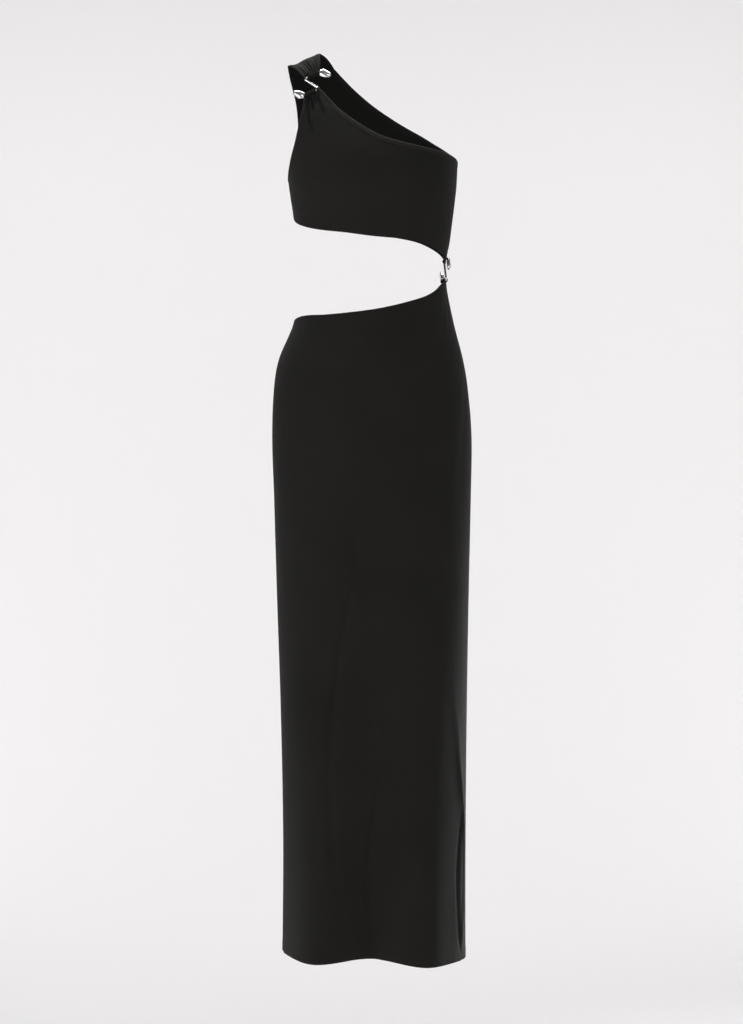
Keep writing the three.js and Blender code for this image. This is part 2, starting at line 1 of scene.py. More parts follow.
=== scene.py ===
# One-shoulder maxi dress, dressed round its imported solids. Tables are in millimetres.
import bpy
import math
import numpy as np
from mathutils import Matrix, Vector


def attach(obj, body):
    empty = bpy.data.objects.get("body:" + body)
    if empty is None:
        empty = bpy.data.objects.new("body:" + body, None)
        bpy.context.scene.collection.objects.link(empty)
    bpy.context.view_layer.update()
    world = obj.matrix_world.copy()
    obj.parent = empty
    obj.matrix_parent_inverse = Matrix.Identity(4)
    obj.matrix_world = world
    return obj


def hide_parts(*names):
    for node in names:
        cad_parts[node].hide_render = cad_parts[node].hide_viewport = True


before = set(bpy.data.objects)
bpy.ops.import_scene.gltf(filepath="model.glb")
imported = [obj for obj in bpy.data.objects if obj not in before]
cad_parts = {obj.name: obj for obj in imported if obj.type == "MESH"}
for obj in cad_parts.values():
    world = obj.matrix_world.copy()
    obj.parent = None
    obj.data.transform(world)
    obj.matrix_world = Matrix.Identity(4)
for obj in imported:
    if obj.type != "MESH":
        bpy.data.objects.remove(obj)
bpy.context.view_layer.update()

# The dress's own zero: the middle of the dress at its hem, from the frame's origin
HOLD_X = 112.5
HOLD_UP = 1466.1
MM = 0.001
FRONT, BACK = -1, 1
SEAM_DEG = 90
TINY = 1e-9

# Cloth walls, edge bands and the gaps between neighbours
WALL = 1.5
BAND_WALL = 2.6
SEAM_GAP = 0.3
BAND_GAP = 0.4
NECK_BAND = 8
ARM_BAND = 6
# The shoulder's crest, and the slope that falls from it to the arm
CREST = 1477
CREST_ROUND = 60.8
STRAP_AXIS_DROP = 60
SLOPE = 0.38
SLOPE_FROM = -86
SLOPE_LOW = 1300
SLOPE_HIGH = 1440
# Casings: gathered tunnels of cloth round the links' bars
CASING_INNER = 2.6
CASING_OUTER = 4.1
CASING_RIB = 0.4
CASING_RIBS = 7
CASING_HALF = 9.1
CASING_SHIFT = 0.7
CASING_REACH = CASING_OUTER + CASING_RIB + SEAM_GAP
CASING_ROUNDING = 0.9
# The corner of a gathered panel that laps over its casing beside the bend
LAP_END = 13
LAP_FRONT = 3.9
LAP_FRONT_SPAN = (6, 9.5)
LAP_RISE = 6.2
LAP_RISE_SPAN = (9.2, 12.5)
# Long folds: how fast they fade upward and toward the side seams, and the hem's sway
FOLD_POWER = 1.35
SEAM_FADE = 14
SWAY = 0.17
SWAY_FROM = 620
# Gathers at the shoulder link, in the bodice (by height) and in the strap (by its share)
GATHER_DEPTH = 1.1
GATHER_FROM = 1335
GATHER_FAN = 0.12
GATHER_SIDES = (0.44, 0.3)
GATHER_RISE = (1366, 1408)
BROAD_RISE = (1330, 1385)
BROAD_SHARE = 0.5
BROAD_PHASE = 0.6
BROAD_FOLDS = 3
STRAP_SIDES = (0.5, 0.38)
STRAP_GATHER = (0.62, 1)
STRAP_BROAD = (0.42, 0.9)
STRAP_BROAD_SHARE = 0.55
STRAP_BROAD_PHASE = 0.9
STRAP_PULL = (0.5, 1)
STRAP_DIP = 2.6
STRAP_DIP_AT = 0.3
STRAP_DIP_WIDE = 0.2
# How far creases fade beside a side seam, in degrees from the front's or back's middle
PANEL_FADE = (90, 84)
SLACK_FADE = (90, 80)
BODICE_SLACK = 0.5
# Painted shade in the cloth's colour: full in a gather this deep, and its share on the reverse face, whose
# inner faces lie in shade
GATHER_FULL_PAINTED_SHADE = 1.5
REVERSE_PAINTED_SHADE = 0.64
# Phase of the free cloth's waves, for each panel
SLACK_FRONT_BODICE, SLACK_BACK_BODICE = 0.4, 1.9
SLACK_FRONT_SKIRT, SLACK_BACK_SKIRT = 0.3, 2.2


# Tables with named columns
def table(columns, *rows):
    return dict(zip(columns.split(), np.array(rows, float).T))


FORM = table(
    "up left right front back",
    (0, 148, 151, 111, 108),
    (180, 146.5, 151.5, 108, 109),
    (400, 150.3, 154, 106, 112),
    (600, 156.6, 157.5, 105, 117),
    (750, 161, 160.8, 107, 123),
    (850, 164, 162, 108, 124),
    (930, 160.8, 155.5, 105, 116),
    (975, 153, 148, 100, 106),
    (1040, 127, 131.5, 93, 91),
    (1120, 119, 118.5, 87, 80),
    (1170, 122, 126.5, 98, 83),
    (1206, 128.3, 131, 110, 87),
    (1255, 136, 137, 126, 93),
    (1285, 139.5, 138.7, 124, 97),
    (1320, 144, 140, 113, 98),
    (1365, 151, 148, 92, 86),
    (1410, 158, 158, 66, 66),
    (1437, 162, 162, 49.3, 49.3),
    (1458, 164, 164, 34, 34),
)
FRONT_BODICE_HEM = table(
    "at deg up",
    (0, -90, 1208), (0.1, -80, 1199), (0.2, -66, 1190), (0.35, -44, 1180), (0.5, -20, 1173),
    (0.62, 0, 1167), (0.75, 25, 1163), (0.82, 37, 1160), (0.88, 49.5, 1154), (0.93, 61, 1148.5),
    (0.96, 69, 1144.3), (0.98, 78, 1141.3), (1, 90, 1141.1),
)
BACK_BODICE_HEM = table(
    "at deg up",
    (0, -90, 1208), (0.2, -60, 1205), (0.4, -20, 1200), (0.52, 0, 1193), (0.63, 18, 1184.5),
    (0.7, 28, 1180), (0.77, 38, 1174), (0.84, 50, 1164), (0.9, 61, 1154.5), (0.94, 69, 1148),
    (0.97, 77, 1142), (1, 90, 1141.1),
)
FRONT_NECK = table(
    "at deg up",
    (0, -33, 1410), (0.1, -26.5, 1389.5), (0.19, -20.4, 1371), (0.29, -12, 1353), (0.37, -4, 1338.5),
    (0.49, 5.4, 1325.5), (0.6, 16, 1317.7), (0.7, 28, 1312), (0.8, 41, 1308), (0.89, 53, 1305.6),
    (0.96, 70, 1302), (1, 90, 1298),
)
BACK_NECK = table(
    "at deg up",
    (0, -22.8, 1458), (0.09, -17.4, 1443.5), (0.17, -10.5, 1426), (0.29, 0, 1403.4), (0.4, 10.6, 1385),
    (0.52, 21.8, 1368.5), (0.64, 34.4, 1352.7), (0.79, 50, 1334), (0.92, 70, 1314.5), (1, 90, 1300),
)
FRONT_ARMHOLE = table(
    "at deg up",
    (0, -90, 1271), (0.12, -83, 1275), (0.22, -76.5, 1284.5), (0.36, -68.6, 1301), (0.5, -61, 1321),
    (0.64, -55.2, 1344), (0.76, -51.8, 1364), (0.89, -47.6, 1390), (1, -45, 1410),
)
BACK_ARMHOLE = table(
    "at deg up",
    (0, -90, 1271), (0.1, -82, 1276), (0.2, -73, 1292), (0.32, -65, 1315), (0.44, -59, 1342),
    (0.56, -54.6, 1369), (0.7, -53, 1398), (0.83, -53, 1424), (0.93, -54.5, 1444), (1, -56, 1458),
)
FRONT_HEM = table(
    "at up",
    (-90, 1), (-65, 0.5), (-38, 0), (0, 5), (36, 0), (65, 0), (90, 0),
)
BACK_HEM = table(
    "at up",
    (-90, 1), (-40, 3), (5, 6), (42, 3), (90, 0),
)
FRONT_SKIRT_TOP = table(
    "at up",
    (-90, 1038), (-80, 1040), (-71, 1042), (-62, 1043), (-50, 1043), (-38, 1042.3), (-19, 1044.5),
    (0, 1049.3), (14, 1055.5), (29, 1064), (44, 1073.5), (56, 1083.6), (66, 1094), (74, 1099.6),
    (82, 1100.9), (90, 1100.9),
)
BACK_SKIRT_TOP = table(
    "at up",
    (-90, 1038), (-75, 1038), (-55, 1038.5), (-30, 1040), (0, 1047), (20, 1055.5), (40, 1068),
    (55, 1081.5), (66, 1092.5), (74, 1099), (82, 1100.9), (90, 1100.9),
)
STRAP_EDGES = table(
    "at depth left right",
    (0, 34, -56, -22.8), (0.25, 17, -56.8, -27.2), (0.45, 0, -56.7, -31.6), (0.7, -22, -53, -31.9),
    (0.88, -38, -49, -32.5), (1, -47, -46, -33.2),
)
# A link is a slim bar bent back on itself twice, with flared ends
BAR = 1.85
BAR_LINE = 17.4
BAR_RISE = 0.48
BAR_END = 10.5
LINK_LEAN = 0.72
BEND = 2.4
FLARE_CAP = 1.6
FLARE = table(
    "a b wide thick",
    (-11.6, -23.2, 3.4, 2.6), (-13.6, -21.9, 6.2, 3.3), (-18, -19.3, 6.6, 3.6), (-23.5, -16.6, 5.6, 3.4),
    (-27.6, -14.9, 4.2, 2.8), (-29.6, -14.2, 2.4, 1.8), (-30.2, -14, 1.1, 0.9),
)
# Long folds of the skirt: how far each stands out at the hem, and the height where it starts
FRONT_FOLDS = table(
    "deg wide deep grow",
    (-1, 17, -38, 700), (-43, 19, 30, 640), (36, 16, 19, 660),
)
BACK_FOLDS = table(
    "deg wide deep grow",
    (6, 18, -30, 640), (-36, 16, 18, 600), (44, 17, 20, 680),
)
# Soft creases: ends by angle and height, width and depth (minus is a trough)
CREASES = "deg0 up0 deg1 up1 wide deep"
FRONT_SKIRT_CREASES = table(
    CREASES,
    (84, 1092, 66, 1020, 5, -1), (80, 1088, 54, 1010, 6, -0.8), (88, 1085, 78, 985, 6, -1),
    (83, 1080, 72, 960, 7, 0.8), (-84, 1000, -40, 930, 14, -0.5), (-80, 960, -30, 860, 18, -0.45),
    (62, 1000, 20, 900, 16, -0.45), (76, 940, 64, 700, 12, -0.8), (-76, 820, -66, 520, 13, -0.6),
    (-20, 700, -14, 330, 14, 1.2), (16, 620, 20, 300, 12, -1), (1, 420, 0, -60, 5, 2.2),
    (-9, 640, -9, -60, 7, -3.6), (7.6, 330, 7.8, -60, 4, -3), (58, 420, 62, 10, 12, 1.6),
    (70, 240, 75, -30, 4.5, -3.4), (64, 330, 67, -40, 5, 2.6), (-82, 90, -80, -40, 5, -2.2),
)
BACK_SKIRT_CREASES = table(
    CREASES,
    (86, 1090, 66, 1000, 6, -1.1), (80, 1088, 52, 990, 6, -0.9), (74, 1010, 40, 880, 16, -0.8),
    (-84, 990, -44, 900, 15, -0.8), (-70, 860, -60, 560, 13, -0.9), (60, 800, 66, 500, 13, -0.9),
    (-14, 780, -10, 420, 15, -1.2), (24, 700, 22, 380, 13, 1.3), (14, 380, 17, 30, 8, 2.2),
    (-8, 360, -6, 20, 8, 1.7), (-58, 400, -60, 10, 9, -1.7), (66, 420, 66, 10, 9, -1.6),
)
FRONT_GATHERS = table(
    CREASES,
    (-41.2, 1412, -40.8, 1338, 2.5, -2.7), (-39, 1412, -37.4, 1374, 2.3, -2.5),
    (-36, 1410, -34, 1382, 2.3, -2.2), (-33.6, 1406, -30.6, 1362, 2.4, -2.6),
    (-30, 1402, -25.5, 1376, 2.3, -1.9),
)
FRONT_BODICE_CREASES = table(
    CREASES,
    (-38.4, 1410, -36.5, 1352, 1.6, 1.3), (-42, 1410, -41.4, 1350, 1.8, 1.3),
    (-35.5, 1402, -26, 1356, 4, 0.5), (-84, 1268, -50, 1225, 7, -0.7), (-86, 1236, -70, 1222, 4, 0.8),
    (-86, 1222, -66, 1206, 4, -0.8), (84, 1160, 76, 1230, 5, -0.9), (78, 1158, 64, 1215, 6, -0.7),
    (88, 1165, 86, 1250, 4, 0.7), (72, 1166, 44, 1222, 9, -0.5), (-52, 1310, -30, 1270, 12, -0.5),
    (40, 1290, 62, 1230, 12, -0.5),
)
BACK_BODICE_CREASES = table(
    CREASES,
    (-50, 1450, -40, 1380, 5, -0.7), (-34, 1452, -22, 1390, 6, -0.8), (84, 1162, 74, 1235, 5, -0.9),
    (76, 1162, 58, 1225, 7, -0.7), (-84, 1262, -50, 1228, 8, -0.7), (-20, 1330, 20, 1280, 16, -0.6),
    (44, 1320, 66, 1262, 11, -0.6),
)


def hermite(keys, values, x):
    """Smooth curve through a table's rows, straight past its ends."""
    x = np.asarray(x, float)
    last = len(keys) - 1
    before = np.maximum(np.arange(last + 1) - 1, 0)
    after = np.minimum(np.arange(last + 1) + 1, last)
    slopes = (values[after] - values[before]) / (keys[after] - keys[before])
    i = np.clip(np.searchsorted(keys, x, side="left") - 1, 0, last - 1)
    span = keys[i + 1] - keys[i]
    t = np.clip((x - keys[i]) / span, 0, 1)
    t2, t3 = t * t, t * t * t
    y = (2 * t3 - 3 * t2 + 1) * values[i] + (t3 - 2 * t2 + t) * slopes[i] * span
    y = y + (3 * t2 - 2 * t3) * values[i + 1] + (t3 - t2) * slopes[i + 1] * span
    y = y + np.minimum(x - keys[0], 0) * slopes[0]
    return y + np.maximum(x - keys[-1], 0) * slopes[-1]


def along(rows, key, name, x):
    return hermite(rows[key], rows[name], x)


def smooth(start, end, x):
    t = np.clip((np.asarray(x, float) - start) / (end - start), 0, 1)
    return t * t * (3 - 2 * t)


def points(x, y, z):
    return np.stack(np.broadcast_arrays(x, y, z), axis=-1).astype(float)


def unit(v):
    return v / np.maximum(np.linalg.norm(v, axis=-1, keepdims=True), TINY)


def in_frame(p):
    """From the dress's own millimetres to the frame's metres."""
    return (np.asarray(p, float) + (HOLD_X, 0, -HOLD_UP)) * MM


# The hollow form that the dress keeps when worn
def shoulder_fall(x, up):
    return SLOPE * np.maximum(0, SLOPE_FROM - x) * smooth(SLOPE_LOW, SLOPE_HIGH, up)


def on_form(deg, up, side):
    turn = np.radians(deg)
    half = np.where(np.asarray(deg) < 0, along(FORM, "up", "left", up), along(FORM, "up", "right", up))
    x = half * np.sin(turn)
    y = side * along(FORM, "up", "front" if side < 0 else "back", up) * np.cos(turn)
    return points(x, y, up - shoulder_fall(x, up))


def over_shoulder(deg, depth):
    turn = np.radians(deg)
    up = CREST - depth * depth / CREST_ROUND
    x = along(FORM, "up", "left", up) * np.sin(turn)
    return points(x, depth * np.cos(turn), up - shoulder_fall(x, up))


# Links and the casings on their bars
def link_frame(centre, turn_deg, tilt_deg, spin_deg):
    turn, tilt, spin = (math.radians(d) for d in (turn_deg, tilt_deg, spin_deg))
    a = np.array([math.cos(turn), -math.sin(turn), 0])
    level = np.array([-math.sin(turn), -math.cos(turn), 0])
    b = np.array([0, 0, math.cos(tilt)]) - math.sin(tilt) * level
    c = np.cross(a, b)

    def place(x, y, z=0.0):
        x, y, z = np.broadcast_arrays(*(np.asarray(k, float) for k in (x, y, z)))
        along_a = x * math.cos(spin) - y * math.sin(spin)
        along_b = x * math.sin(spin) + y * math.cos(spin)
        return centre + along_a[..., None] * a + along_b[..., None] * b + z[..., None] * c

    return place


shoulder_link = link_frame(np.array([-98.2, -43, 1420]), turn_deg=15.5, tilt_deg=22.6, spin_deg=0)
waist_link = link_frame(np.array([119.4, 0, 1121]), turn_deg=80, tilt_deg=0, spin_deg=-25.6)


def casing_end(place, side, share):
    """The end of a gathered panel; its corner beside the bend laps over it in front."""
    flared = side * (CASING_HALF + CASING_SHIFT)
    bent = -side * LAP_END
    first, last = (bent, flared) if side > 0 else (flared, bent)
    x = first + (last - first) * np.asarray(share)
    front = LAP_FRONT * smooth(*LAP_FRONT_SPAN, -side * x)
    back = LAP_RISE * smooth(*LAP_RISE_SPAN, -side * x)
    return place(x, side * (BAR_LINE + CASING_REACH - back) + BAR_RISE * x, front)


# Soft relief of the cloth, in millimetres out from the form
CREASE_RADIUS = 125
CREASE_BOW = 0.06
CREASE_NARROW = 0.7
CREASE_WIDENS = 0.6
CREASE_START = (-0.18, 0.22)
CREASE_END = (1.2, 0.62)


def creases(rows, deg, up):
    """Every crease is a bowed soft trough or ridge that tapers off at both ends."""
    per_deg = math.radians(1) * CREASE_RADIUS
    x, y = deg * per_deg, up
    total = np.zeros(np.broadcast(x, y).shape)
    for d0, u0, d1, u1, wide, deep in zip(*rows.values()):
        start = np.array([d0 * per_deg, u0])
        run = np.array([d1 * per_deg, u1]) - start
        length = np.linalg.norm(run)
        run = run / length
        px, py = x - start[0], y - start[1]
        s = (px * run[0] + py * run[1]) / length
        bow = CREASE_BOW * length * np.sin(math.pi * np.clip(s, 0, 1)) * (1 if deep > 0 else -1)
        off = px * -run[1] + py * run[0] - bow
        spread = wide * (CREASE_NARROW + CREASE_WIDENS * np.clip(s, 0, 1))
        ends = smooth(*CREASE_START, s) * smooth(*CREASE_END, s)
        total = total + deep * ends * np.exp(-(off / spread) ** 2)
    return total


def long_folds(rows, deg, up):
    total = np.zeros(np.broadcast(deg, up).shape)
    for fold_deg, wide, deep, grow in zip(*rows.values()):
        size = np.maximum(0, 1 - up / grow) ** FOLD_POWER
        total = total + deep * size * np.exp(-(((deg - fold_deg) / wide) ** 2))
    return total


# Each wave is a product of two: their height, then radians by degree and by height, and phase
SLACK_WAVES = table(
    "high deg0 up0 phase0 deg1 up1 phase1",
    (0.45, 0.061, 0.0047, 1, 0, 0.0113, 1.7),
    (0.28, 0.137, -0.0083, 2.1, 0.02, 0.0061, 0),
)


def slack(deg, up, wave):
    """The faint unevenness of cloth that hangs free, never quite flat."""
    total = np.zeros(np.broadcast(deg, up).shape)
    for high, deg0, up0, phase0, deg1, up1, phase1 in zip(*SLACK_WAVES.values()):
        first = np.sin(deg * deg0 + up * up0 + phase0 * wave)
        total = total + high * first * np.sin(deg * deg1 + up * up1 + phase1 * wave)
    return total


# Mesh making
def build_mesh(name, verts, faces, uvs=None):
    mesh = bpy.data.meshes.new(name)
    mesh.from_pydata([tuple(v) for v in verts], [], [tuple(f) for f in faces])
    if uvs is not None:
        layer = mesh.uv_layers.new(name="cloth")
        loops = np.empty(len(mesh.loops), dtype=np.int32)
        mesh.loops.foreach_get("vertex_index", loops)
        layer.data.foreach_set("uv", uvs[loops].astype(np.float32).ravel())
    mesh.polygons.foreach_set("use_smooth", [True] * len(mesh.polygons))
    mesh.validate()
    mesh.update()
    obj = bpy.data.objects.new(name, mesh)
    bpy.context.scene.collection.objects.link(obj)
    return obj


def grid_normals(p, axis):
    du = np.gradient(p, axis=1)
    dv = np.gradient(p, axis=0)
    n = unit(np.cross(du, dv))
    away = p - axis(p)
    flip = np.sign((n * away).sum(-1).sum())
    return n * (flip if flip else 1)


def body_axis(p):
    return points(0, 0, p[..., 2])


def shoulder_axis(p):
    return points(p[..., 0], 0, CREST - STRAP_AXIS_DROP)


def lengths(p, axis):
    steps = np.linalg.norm(np.diff(p, axis=axis), axis=-1)
    total = np.cumsum(steps, axis=axis)
    pad = [(0, 0), (0, 0)]
    pad[axis] = (1, 0)
    return np.pad(total, pad)


EDGE_ROUND = 0.32


def shell(name, p, wall, axis, outer_lift, inner_lift, fold_painted_shade=None):
    """A thin closed wall of cloth round the grid p, with soft rounded edges."""
    rows, cols = p.shape[:2]
    n = grid_normals(p, axis)
    outer = p + n * (wall / 2 + outer_lift[..., None])
    inner = p - n * (wall / 2 + inner_lift[..., None])
    idx = np.arange(rows * cols).reshape(rows, cols)
    ring = np.concatenate([idx[0, :-1], idx[:-1, -1], idx[-1, :0:-1], idx[:0:-1, 0]])
    r, c = ring // cols, ring % cols
    inward = p[np.clip(r, 1, rows - 2), np.clip(c, 1, cols - 2)]
    out_dir = unit(p[r, c] - inward)
    middle = (outer[r, c] + inner[r, c]) / 2 + out_dir * wall * EDGE_ROUND
    verts = np.concatenate([outer.reshape(-1, 3), inner.reshape(-1, 3), middle])
    total = rows * cols
    a, b, cc, d = (k.ravel() for k in (idx[:-1, :-1], idx[:-1, 1:], idx[1:, 1:], idx[1:, :-1]))
    front = np.stack([a, b, cc, d], 1)
    back = np.stack([d, cc, b, a], 1) + total
    k = np.arange(len(ring))
    nxt = (k + 1) % len(ring)
    rim0 = np.stack([ring[k], 2 * total + k, 2 * total + nxt, ring[nxt]], 1)
    rim1 = np.stack([2 * total + k, ring[k] + total, ring[nxt] + total, 2 * total + nxt], 1)
    faces = np.concatenate([front, back, rim0, rim1])
    u, v = lengths(p, 1), lengths(p, 0)
    uv = np.stack([u, v], -1).reshape(-1, 2) * MM
    uvs = np.concatenate([uv, uv, uv[ring]])
    turn = np.cross(p[0, 1] - p[0, 0], p[1, 0] - p[0, 0]) @ n[0, 0]
    if turn < 0:
        faces = faces[:, ::-1]
    obj = build_mesh(name, in_frame(verts), faces, uvs)
    outside = np.zeros(total) if fold_painted_shade is None else fold_painted_shade.ravel()
    # Painted shade: the reverse face is darker all over, standing in for the shade inside the dress; the
    # outer face darkens only in the gathers
    shade = np.concatenate([outside, np.full(total, REVERSE_PAINTED_SHADE), np.zeros(len(ring))])
    obj.data.attributes.new("shade", "FLOAT", "POINT").data.foreach_set("value", shade)
    return obj


def sweep(name, centres, across, normal, wide, thick, sides):
    """A closed bar of oval section along a line of centres."""
    turn = np.linspace(0, 2 * math.pi, sides, endpoint=False)
    rings = (centres[:, None, :] + across[:, None, :] * (wide[:, None] * np.cos(turn))[..., None]
             + normal[:, None, :] * (thick[:, None] * np.sin(turn))[..., None])
    count = len(centres)
    verts = np.concatenate([rings.reshape(-1, 3), centres[:1], centres[-1:]])
    faces = []
    for k in range(count - 1):
        for s in range(sides):
            t = (s + 1) % sides
            faces.append((k * sides + s, k * sides + t, (k + 1) * sides + t, (k + 1) * sides + s))
    first, last = count * sides, count * sides + 1
    for s in range(sides):
        t = (s + 1) % sides
        faces.append((t, s, first))
        faces.append(((count - 1) * sides + s, (count - 1) * sides + t, last))
    return build_mesh(name, in_frame(verts), faces)


# Panels as sheets between four edges
STRAP_SHARE = 0.3
SEAM_SHARE = 0.38
SIDE_DEG = 89.88
NECK_BAND_START = 0.4
NECK_BAND_FULL = (0, 0.14)
NECK_LEVEL = (0.1, 0)
NECK_SHEER = (0.85, 1)
NECK_GAP_WIDE = (0.2, 0)
ARM_BAND_TAPER = 0.45
ARM_BAND_END = (0.85, 1)
ARM_LEVEL = (0.88, 1)
ARM_SHEER = (0.12, 0)
ARM_GAP_WIDE = (0.7, 0.9)


def edge_of(rows):
    return lambda t: (along(rows, "at", "deg", t), along(rows, "at", "up", t))


def inset(edge, width, side, lean):
    """An edge moved into its panel: square to it at lean 0, level at 1, straight down at -1."""
    def moved(t):
        t = np.asarray(t, float)
        step = 1e-3
        deg, up = edge(t)
        deg1, up1 = edge(t + step)
        deg0, up0 = edge(t - step)
        per_deg = np.linalg.norm(on_form(deg + 0.5, up, side) - on_form(deg - 0.5, up, side), axis=-1)
        per_up = np.linalg.norm(on_form(deg, up + 0.5, side) - on_form(deg, up - 0.5, side), axis=-1)
        run = unit(np.stack([(deg1 - deg0) * per_deg, (up1 - up0) * per_up], -1))
        flat, sheer = np.maximum(0, lean(t)), np.maximum(0, -lean(t))
        across = (run[..., 1] + (np.sign(run[..., 1]) - run[..., 1]) * flat) * (1 - sheer)
        down = (run[..., 0] + (1 - run[..., 0]) * sheer) * (1 - flat)
        return deg + across * width(t) / per_deg, up - down * width(t) / per_up
    return moved


def neck_width(t):
    return NECK_BAND * (NECK_BAND_START + (1 - NECK_BAND_START) * smooth(*NECK_BAND_FULL, t))


def arm_width(t):
    return ARM_BAND * (1 - ARM_BAND_TAPER * smooth(*ARM_BAND_END, t))


def neck_lean(t):
    return smooth(*NECK_LEVEL, t) - smooth(*NECK_SHEER, t)


def arm_lean(t):
    return smooth(*ARM_LEVEL, t) - smooth(*ARM_SHEER, t)


def neck_room(t):
    return neck_width(t) + BAND_GAP * (1 + smooth(*NECK_GAP_WIDE, t))


def arm_room(t):
    return arm_width(t) + BAND_GAP * (1 + smooth(*ARM_GAP_WIDE, t))


def within_seams(deg):
    return deg * SIDE_DEG / SEAM_DEG


def bodice_rows(hem_rows, neck_rows, arm_rows, side, u, v):
    """Angle and height over a grid that follows a bodice panel's own edges."""
    neck_in = inset(edge_of(neck_rows), neck_room, side, neck_lean)
    arm_in = inset(edge_of(arm_rows), arm_room, side, arm_lean)
    hem = edge_of(hem_rows)
    sl, sr = arm_in(np.array(1.0)), neck_in(np.array(0.0))
    bottom_deg, bottom_up = hem(u)
    bottom_deg = within_seams(bottom_deg)
    share = np.clip(u / STRAP_SHARE, 0, 1)
    neck_deg, neck_up = neck_in(np.clip((u - STRAP_SHARE) / (1 - STRAP_SHARE), 0, 1))
    past = u > STRAP_SHARE
    top_deg = np.where(past, within_seams(neck_deg), sl[0] + (sr[0] - sl[0]) * share)
    top_up = np.where(past, neck_up, sl[1] + (sr[1] - sl[1]) * share)
    arm_deg, arm_up = arm_in(np.clip((v - SEAM_SHARE) / (1 - SEAM_SHARE), 0, 1))
    above = v > SEAM_SHARE
    low = bottom_up[0]
    seam_top = arm_in(np.array(0.0))[1]
    left_deg = np.where(above, within_seams(arm_deg), -SIDE_DEG)
    left_up = np.where(above, arm_up, low + (seam_top - low) * np.clip(v / SEAM_SHARE, 0, 1))
    right_deg = np.full_like(v, SIDE_DEG)
    right_up = bottom_up[-1] + (top_up[-1] - bottom_up[-1]) * v

    def mix(bottom, top, left, right):
        uu, vv = u[None, :], v[:, None]
        ruled = ((1 - vv) * bottom[None, :] + vv * top[None, :]
                 + (1 - uu) * left[:, None] + uu * right[:, None])
        corners = ((1 - uu) * (1 - vv) * bottom[0] + uu * (1 - vv) * bottom[-1]
                   + (1 - uu) * vv * top[0] + uu * vv * top[-1])
        return ruled - corners

    return mix(bottom_deg, top_deg, left_deg, right_deg), mix(bottom_up, top_up, left_up, right_up)


def gathered_front(deg, up):
    """The front as worn, drawn in to its casing on the link and gathered there."""
    base = on_form(deg, up, FRONT)
    left, right, top = FRONT_ARMHOLE["deg"][-1], FRONT_NECK["deg"][0], FRONT_NECK["up"][0]
    share = np.clip((deg - left) / (right - left), 0, 1)
    end = on_form(left + (right - left) * share, np.full_like(deg, top), FRONT)
    pull = casing_end(shoulder_link, -1, share) - end
    drawn = smooth(GATHER_FROM, top, up)
    half = (right - left) / 2 + (top - up) * GATHER_FAN
    fanned = 0.5 + (deg - (left + right) / 2) / (2 * half)
    window = smooth(*GATHER_SIDES, np.abs(fanned - 0.5))
    folds = np.cos(2 * math.pi * fanned * CASING_RIBS) * smooth(*GATHER_RISE, up)
    broad = np.cos(2 * math.pi * fanned * BROAD_FOLDS + BROAD_PHASE) * smooth(*BROAD_RISE, up) * BROAD_SHARE
    away = base.copy()
    away[..., 2] = 0
    relief_mm = GATHER_DEPTH * (folds + broad) * window
    relief_mm = relief_mm + creases(FRONT_GATHERS, deg, up)
    relief_mm = relief_mm + creases(FRONT_BODICE_CREASES, deg, up) * smooth(*PANEL_FADE, np.abs(deg))
    hanging = BODICE_SLACK * slack(deg, up, SLACK_FRONT_BODICE)
    relief_mm = relief_mm + hanging * smooth(*SLACK_FADE, np.abs(deg))
    return base + unit(away) * relief_mm[..., None] + pull * drawn[..., None]


def plain_back(deg, up):
    base = on_form(deg, up, BACK)
    away = base.copy()
    away[..., 2] = 0
    hanging = BODICE_SLACK * slack(deg, up, SLACK_BACK_BODICE)
    relief_mm = creases(BACK_BODICE_CREASES, deg, up) + hanging
    return base + unit(away) * (relief_mm * smooth(*PANEL_FADE, np.abs(deg)))[..., None]


SKIRT_CROWDING = 1.15
SKIRT_EDGE_FADE = (0, 6)


def skirt_grid(hem_rows, top_rows, folds, crease_rows, side, wave, cols, rows):
    deg = np.linspace(-SIDE_DEG, SIDE_DEG, cols)
    v = 1 - (1 - np.linspace(0, 1, rows)) ** SKIRT_CROWDING
    hem, top = along(hem_rows, "at", "up", deg), along(top_rows, "at", "up", deg)
    dd, vv = np.meshgrid(deg, v)
    up = hem + vv * (top - hem)
    p = on_form(dd, up, side)
    p[..., 1] += side * long_folds(folds, dd, up) * smooth(0, SEAM_FADE, SEAM_DEG - np.abs(dd))
    p[..., 1] -= SWAY * p[..., 0] * np.maximum(0, 1 - up / SWAY_FROM) ** FOLD_POWER
    away = p.copy()
    away[..., 2] = 0
    relief = creases(crease_rows, dd, up) + slack(dd, up, wave)
    relief = relief * smooth(*SKIRT_EDGE_FADE, SEAM_DEG - np.abs(dd))
    return p + unit(away) * relief[..., None], up - hem, top - up


# Materials
OUTER_BLACK = (0.0118, 0.0112, 0.0102)
BAND_BLACK = tuple(1.5 * k for k in OUTER_BLACK)
# Painted shade: the darkest the cloth's colour is multiplied to, in deep gathers
DEEPEST_PAINTED_SHADE = (0.3, 0.3, 0.3, 1)
MOTTLE = (0.86, 1.14)
MOTTLE_SPAN = (0.3, 0.72)
FIBRE_SHARE = 0.25
WALES_PER_MM = 1.6
THREAD_WALES_PER_MM = 3.0
COURSES_PER_WALE = 0.8
JERSEY_SURFACE = {
    "Roughness": 0.78, "Specular IOR Level": 0.16,
    "Sheen Weight": 0.03, "Sheen Roughness": 0.45, "Sheen Tint": (0.8, 0.79, 0.76, 1),
}
WALES = {"Scale": 0.5, "Distortion": 0.6, "Detail": 1.0}
COURSES = {"Scale": 0.5, "Distortion": 1.2}
CLOUD = {"Scale": 9.0, "Detail": 3.0}
FIBRE = {"Scale": 1400.0, "Detail": 2.0}
SILVER_HAZE = {"Scale": 160.0, "Detail": 4.0}
